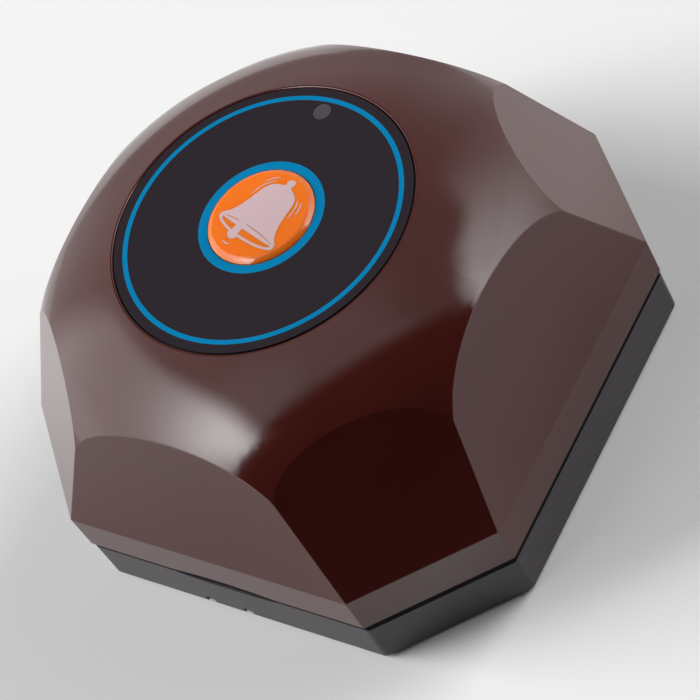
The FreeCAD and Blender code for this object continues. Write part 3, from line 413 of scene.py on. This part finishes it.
MOTION_LINES = (
    [(-3.55, 0.1), (-3.2, 1.9), (-2.2, 3.3)],
    [(-3.35, 2.6), (-2.75, 3.4), (-2.0, 3.95)],
    [(3.55, 0.1), (3.3, 1.6), (2.75, 2.65)],
    [(4.05, 0.9), (3.85, 1.8), (3.4, 2.6)],
    [(-1.8, -6.72), (-1.2, -6.84), (-0.6, -6.72)],
)


def near_rim(x, half_width, half_height):
    """Height of the near half of an oval round the bell's open end."""
    return RIM_MIDDLE - half_height * math.sqrt(max(0.0, 1 - (x / half_width) ** 2))


def bell_outlines():
    """Outline of the bell with its clapper, then the openings that stay free of ink."""
    side = curve(BELL_SIDE)
    low = []
    for n in range(1, RIM_STEPS):
        x = RIM_HALF_WIDTH * math.cos(math.pi * n / RIM_STEPS)
        y = near_rim(x, RIM_HALF_WIDTH, RIM_HALF_HEIGHT)
        reach = BALL_RADIUS ** 2 - (x - BALL_PLACE[0]) ** 2
        if reach > 0:
            y = min(y, BALL_PLACE[1] - math.sqrt(reach))
        low.append((x, y))
    outer = side + low + [(-x, y) for x, y in side[:0:-1]]
    holes = []
    spans = ((-OPENING_HALF_WIDTH, BALL_PLACE[0] - BALL_STEM_HALF_WIDTH),
             (BALL_PLACE[0] + BALL_STEM_HALF_WIDTH, OPENING_HALF_WIDTH))
    for start, end in spans:
        steps = [start + (end - start) * (1 - math.cos(math.pi * n / OPENING_STEPS)) / 2
                 for n in range(OPENING_STEPS + 1)]
        near_edge = [(x, near_rim(x, OPENING_HALF_WIDTH, OPENING_HALF_HEIGHT)) for x in steps]
        far_edge = [(x, near_rim(x, OPENING_HALF_WIDTH, INNER_EDGE_DROP)) for x in steps]
        gap = [point for point in far_edge[::-1] if abs(point[0]) < OPENING_HALF_WIDTH - OPENING_CORNER]
        holes.append(near_edge + gap)
        inside = [x for x in steps if abs(x) < OPENING_HALF_WIDTH * FAR_EDGE_SHARE]
        arc = [(x, 2 * RIM_MIDDLE - near_rim(x, OPENING_HALF_WIDTH, FAR_EDGE_RISE)) for x in inside]
        holes.append(stroke(arc, FAR_EDGE_WIDTH, FAR_EDGE_TAPER))
    return [leant(outline) for outline in [outer] + holes]


def make_marks():
    """Rings printed on the label, and the bell with its motion lines on the key."""
    for name, radii in (("label_outer_ring", OUTER_RING_RADII), ("label_key_ring", KEY_RING_RADII)):
        mesh = ink_mesh(name, [ring(radii[1]), ring(radii[0])], flat_top)
        new_piece(name, mesh, finishes["blue_ink"], "housing")
    new_piece("bell_mark", ink_mesh("bell_mark", bell_outlines(), key_crown), finishes["pale_ink"], "key")
    for number, line in enumerate(MOTION_LINES, start=1):
        name = f"bell_motion_line_{number}"
        outline = leant(stroke(curve(line), MOTION_WIDTH, MOTION_TAPER))
        new_piece(name, ink_mesh(name, [outline], key_crown), finishes["pale_ink"], "key")


def make_snap_dome():
    """Snap dome of the switch in its solid's form, as a piece of its own that moves with the housing in place
    of the solid.
    """
    mesh = frame["nodes"]["switch_dome"].data.copy()
    mesh.materials.clear()
    dome = new_piece("switch_snap_dome", mesh, finishes["spring_steel"], "housing")
    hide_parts("switch_dome")
    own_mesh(dome)


def make_floor():
    """Plain pale floor that keeps the part's shadow and fades into the white background."""
    mesh = bpy.data.meshes.new("floor")
    corners = [(x, y, -FLOOR_DROP) for x, y in ring(FLOOR_RADIUS, FLOOR_SIDES)]
    mesh.from_pydata(corners, [], [tuple(range(FLOOR_SIDES))])
    material = bpy.data.materials.new("floor")
    material.use_nodes = True
    net = Net(material.node_tree)
    place = net.add("ShaderNodeTexCoord", output="Object")
    reach = net.add("ShaderNodeVectorMath", {"operation": "LENGTH"}, {0: place}, output="Value")
    fade = net.step(reach, *FLOOR_FADE) * net.add("ShaderNodeLightPath", output="Is Camera Ray")
    pale = net.add("ShaderNodeBsdfPrincipled", None,
                   {"Base Color": colour(FLOOR_WHITE, FLOOR_WHITE, FLOOR_WHITE), "Roughness": FLOOR_ROUGHNESS,
                    "Specular IOR Level": FLOOR_GLOSS})
    white = net.add("ShaderNodeEmission", None, {"Color": WHITE, "Strength": 1.0})
    shader = net.add("ShaderNodeMixShader", None, {0: fade, 1: pale, 2: white})
    net.add("ShaderNodeOutputMaterial", None, {"Surface": shader})
    mesh.materials.append(material)
    floor = bpy.data.objects.new("floor", mesh)
    bpy.context.scene.collection.objects.link(floor)


def make_studio():
    """White tent with two soft panels, dimmer stretches, a dark mouth at the front and a gap at the back."""
    world = bpy.data.worlds.new("studio")
    world.use_nodes = True
    net = Net(world.node_tree)
    direction = net.add("ShaderNodeTexCoord", output="Generated")
    x, y, z = [net.add("ShaderNodeSeparateXYZ", None, {0: direction}, output=axis) for axis in "XYZ"]
    rise = net.maths("ARCSINE", z) * math.degrees(1)

    def turn_from(bearing):
        """Degrees round from a bearing, to the left seen from above."""
        cos, sin = math.cos(math.radians(bearing)), math.sin(math.radians(bearing))
        return net.maths("ARCTAN2", y * cos - x * sin, x * cos + y * sin) * math.degrees(1)

    def along(bearing, height=0.0):
        """Share of a direction that points along a bearing and height."""
        flat = math.cos(math.radians(height))
        ahead, aside = flat * math.cos(math.radians(bearing)), flat * math.sin(math.radians(bearing))
        return x * ahead + y * aside + z * math.sin(math.radians(height))

    def squared(value):
        return value * value

    left = turn_from(LEFT_PANEL_BEARING)
    spot = SPOT_LEVEL * net.maths("EXPONENT", squared(left - SPOT_PLACE[0]) / -SPOT_SPREAD[0] ** 2
                                  - squared(rise - SPOT_PLACE[1]) / SPOT_SPREAD[1] ** 2)
    left_foot = LEFT_PANEL_FOOT_SHARE + (1 - LEFT_PANEL_FOOT_SHARE) * net.step(rise, *LEFT_PANEL_FOOT)
    left_top = rise + LEFT_PANEL_TOP_BEND * squared(left)
    left_panel = ((LEFT_PANEL_LEVEL * left_foot + spot) * net.band(left, LEFT_PANEL_SIDES)
                  * (1 - net.step(left_top, *LEFT_PANEL_TOP)))

    right = turn_from(RIGHT_PANEL_BEARING)
    right_end = right - RIGHT_PANEL_LEAN * rise
    right_top = (rise + RIGHT_PANEL_TOP_SLOPE * right
                 + RIGHT_PANEL_FAR_DROP * net.step(right, *RIGHT_PANEL_FAR_END)
                 + RIGHT_PANEL_NEAR_DROP * (1 - net.step(right, *RIGHT_PANEL_NEAR_END)))
    near_side, far_side = RIGHT_PANEL_SIDES
    edge_gain = 1 + RIGHT_PANEL_EDGE_GAIN * (1 - net.step(right_end, *RIGHT_PANEL_EDGE))
    right_panel = (RIGHT_PANEL_LEVEL * edge_gain * net.step(right_end, *near_side)
                   * (1 - net.step(right, *far_side)) * net.step(rise, *RIGHT_PANEL_FOOT)
                   * (1 - net.step(right_top, *RIGHT_PANEL_TOP)))

    side = turn_from(DIM_SIDE_BEARING)
    dim_side = DIM_SIDE_DEPTH * net.band(side, DIM_SIDE_WIDTH) * net.band(rise, DIM_SIDE_HEIGHT)
    back = turn_from(DIM_BACK_BEARING)
    back_depth = DIM_BACK_DEPTH + DIM_BACK_FOOT_DEPTH * (1 - net.step(rise, *DIM_BACK_FOOT))
    dim_back = back_depth * net.band(back, DIM_BACK_WIDTH) * (1 - net.step(rise, *DIM_BACK_TOP))
    glow = GLOW_LEVEL * net.band(left, GLOW_WIDTH) * net.band(rise, GLOW_HEIGHT)

    mouth_start, mouth_end = MOUTH_SIDES
    mouth = (net.step(turn_from(MOUTH_BEARING), *mouth_start) * (1 - net.step(right_end, *mouth_end))
             * net.step(along(MOUTH_AHEAD_BEARING), *MOUTH_AHEAD))
    gap = net.step(along(*GAP_PLACE), *GAP_EDGE)
    tent = (TENT_LEVEL + glow - dim_side) * (1 - dim_back) * (1 - MOUTH_DEPTH * mouth) * (1 - GAP_DEPTH * gap)
    seen = (tent + left_panel + right_panel) * STUDIO_LEVEL
    camera, glossy, through = [net.add("ShaderNodeLightPath", output=f"Is {kind} Ray")
                               for kind in ("Camera", "Glossy", "Transmission")]
    level = seen * (TENT_SHARE + (1 - TENT_SHARE) * glossy)
    background = net.maths("MAXIMUM", camera, through)
    strength = level * (1 - background) + background
    shader = net.add("ShaderNodeBackground", None, {"Color": WHITE, "Strength": strength})
    net.add("ShaderNodeOutputWorld", None, {"Surface": shader})
    bpy.context.scene.world = world


def make_lamps():
    """Large soft lamps to the left and right behind the part."""
    for name, bearing, height, power in LAMPS:
        light = bpy.data.lights.new(name, "AREA")
        light.shape = "DISK"
        light.size = LAMP_SIZE
        light.energy = power
        lamp = bpy.data.objects.new(name, light)
        flat = math.cos(math.radians(height))
        ahead = Vector((flat * math.cos(math.radians(bearing)), flat * math.sin(math.radians(bearing)),
                        math.sin(math.radians(height))))
        lamp.location = ahead * LAMP_DISTANCE
        lamp.rotation_euler = ahead.to_track_quat("Z", "Y").to_euler()
        lamp.visible_glossy = False
        bpy.context.scene.collection.objects.link(lamp)


def make_camera():
    """Camera of the photograph."""
    data = bpy.data.cameras.new("camera")
    data.lens = CAMERA_LENS
    data.sensor_width = CAMERA_SENSOR
    data.clip_start = CAMERA_NEAR
    camera = bpy.data.objects.new("camera", data)
    right, down, ahead = Vector(CAMERA_RIGHT), Vector(CAMERA_DOWN), Vector(CAMERA_AHEAD)
    turn = Matrix((right, -down, -ahead)).transposed()
    camera.matrix_world = Matrix.Translation(Vector(CAMERA_PLACE)) @ turn.to_4x4()
    bpy.context.scene.collection.objects.link(camera)
    bpy.context.scene.camera = camera


finish_solids()
make_marks()
make_snap_dome()
make_floor()
make_studio()
make_lamps()
make_camera()
bpy.context.scene.view_settings.view_transform = "Standard"
